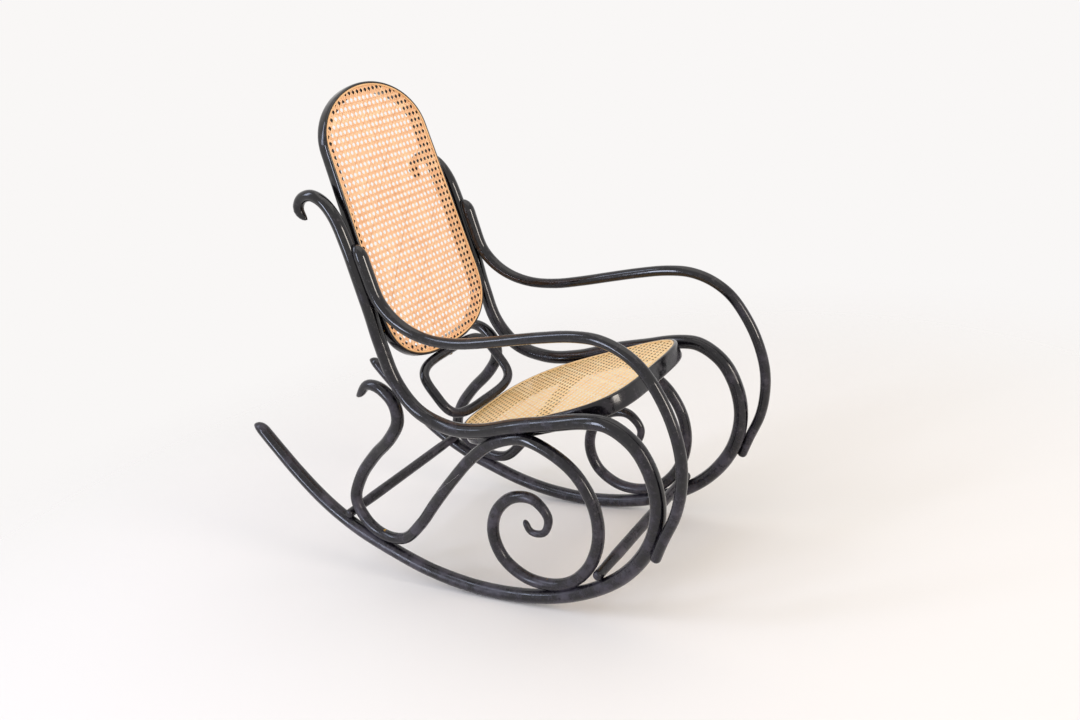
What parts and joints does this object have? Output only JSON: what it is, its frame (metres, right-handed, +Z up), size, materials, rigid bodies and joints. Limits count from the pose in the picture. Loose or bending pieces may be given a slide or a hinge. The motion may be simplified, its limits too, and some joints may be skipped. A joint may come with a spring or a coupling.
{
  "type": "bentwood rocking chair",
  "caption": "Bentwood rocking chair: black lacquered bent rods forming runners, scrolls, arms and posts, with an oval caned seat and a tall arched caned back.",
  "frame": {"origin": "on the floor under the middle of the chair's width and length, with the chair at rest on its runners", "axes": "+Z up, -Y the way the sitter faces, +X the sitter's left"},
  "size_m": [0.4888, 1.1518, 1.1207],
  "materials": {
    "lacquered_wood": "gloss",
    "cane": "satin",
    "screw_brass": "satin"
  },
  "bodies": {
    "root": {"side_rod_left": "lacquered_wood", "side_rod_right": "lacquered_wood", "runner_tail_left": "lacquered_wood", "runner_tail_right": "lacquered_wood", "rear_scroll_left": "lacquered_wood", "rear_scroll_right": "lacquered_wood", "front_scroll_left": "lacquered_wood", "front_scroll_right": "lacquered_wood", "arm_left": "lacquered_wood", "arm_right": "lacquered_wood", "back_hoop": "lacquered_wood", "back_cane": "cane", "back_spline": "cane", "seat_hoop": "lacquered_wood", "seat_cane": "cane", "seat_spline": "cane", "back_loop": "lacquered_wood", "front_stretcher": "lacquered_wood", "rear_stretcher": "lacquered_wood", "arm_screw_rear_left": "screw_brass", "arm_screw_front_left": "screw_brass", "scroll_screw_foot_left": "screw_brass", "scroll_screw_top_left": "screw_brass", "scroll_screw_circle_left": "screw_brass", "stretcher_screw_front_left": "screw_brass", "stretcher_screw_rear_left": "screw_brass", "seat_screw_rear_left": "screw_brass", "seat_screw_front_left": "screw_brass", "back_screw_upper_left": "screw_brass", "back_screw_lower_left": "screw_brass", "arm_screw_rear_right": "screw_brass", "arm_screw_front_right": "screw_brass", "scroll_screw_foot_right": "screw_brass", "scroll_screw_top_right": "screw_brass", "scroll_screw_circle_right": "screw_brass", "stretcher_screw_front_right": "screw_brass", "stretcher_screw_rear_right": "screw_brass", "seat_screw_rear_right": "screw_brass", "seat_screw_front_right": "screw_brass", "back_screw_upper_right": "screw_brass", "back_screw_lower_right": "screw_brass", "loop_screw": "screw_brass"}
  },
  "joints": []
}
